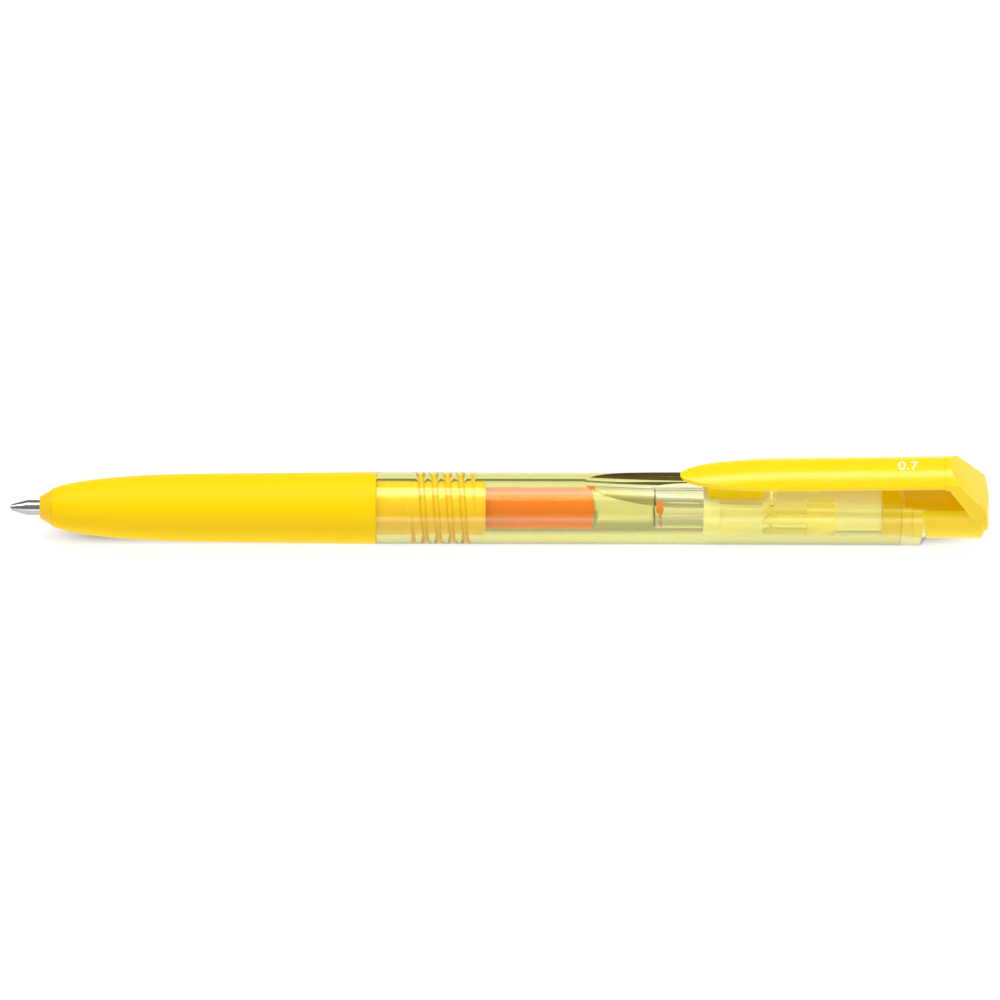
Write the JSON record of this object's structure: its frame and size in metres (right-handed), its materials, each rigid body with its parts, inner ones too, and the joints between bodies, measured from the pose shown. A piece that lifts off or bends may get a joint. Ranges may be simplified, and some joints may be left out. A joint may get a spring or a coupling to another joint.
{
  "type": "retractable gel pen",
  "caption": "Clear click gel pen with rubber grip, metal ball tip, refill, cam mechanism and a clip-topped push button",
  "frame": {"origin": "on the centreline at the joint of grip and clear barrel, which is the front end of the barrel mount", "axes": "+X along the pen from the writing tip to the knock, +Z towards the clip, +Y to the pen's left seen from the tip end"},
  "size_m": [0.14, 0.0104, 0.014],
  "materials": {
    "clear_plastic": "clear moulded styrene",
    "tinted_plastic": "translucent yellow moulded plastic",
    "soft_rubber": "satin yellow elastomer",
    "pale_plastic": "pale translucent moulding",
    "natural_plastic": "natural translucent moulding",
    "yellow_plastic": "glossy yellow moulding",
    "tube_plastic": "clear drawn tube",
    "ink": "orange gel ink",
    "grease": "clear follower grease",
    "nickel_silver": "turned nickel silver",
    "carbide": "polished carbide",
    "spring_steel": "drawn wire"
  },
  "bodies": {
    "barrel": {"rear_barrel": "clear_plastic", "front_barrel": "tinted_plastic", "grip": "soft_rubber", "cam_guide": "pale_plastic", "return_spring": "spring_steel"},
    "knock": {"knock_sleeve": "yellow_plastic", "knock_cam": "natural_plastic", "clip_head": "yellow_plastic"},
    "clip": {"clip": "yellow_plastic"},
    "refill": {"tip_socket": "nickel_silver", "tip_holder": "natural_plastic", "ink_tube": "tube_plastic", "ink_column": "ink", "follower_grease": "grease", "ink_residue": "ink"},
    "rotor": {"rotor": "natural_plastic"},
    "ball": {"writing_ball": "carbide"}
  },
  "joints": [
    {"name": "knock_slide", "type": "slide", "parent": "barrel", "child": "knock", "axis": [1, 0, 0], "range_m": [-0.0015, 0.0055]},
    {"name": "refill_slide", "type": "slide", "parent": "barrel", "child": "refill", "axis": [1, 0, 0], "range_m": [-0.0015, 0.0055], "deforming": ["return_spring"]},
    {"name": "rotor_spin", "type": "hinge", "parent": "refill", "child": "rotor", "pos_m": [0.05, 0, 0], "axis": [1, 0, 0], "range_deg": [-45.1, 12.4]},
    {"name": "clip_flex", "type": "hinge", "parent": "knock", "child": "clip", "pos_m": [0.081, 0, 0.00868], "axis": [0, 1, 0], "range_deg": [0, 4], "stiffness_Nm_per_rad": 0.3},
    {"name": "ball_roll", "type": "hinge", "parent": "refill", "child": "ball", "pos_m": [-0.05205, 0, 0], "axis": [0, 1, 0], "continuous": true}
  ],
  "couplings": [
    {"joint": "refill_slide", "follows": "knock_slide", "ratio": 1},
    {"joint": "rotor_spin", "follows": "knock_slide", "rad_per_m": -142.8}
  ]
}
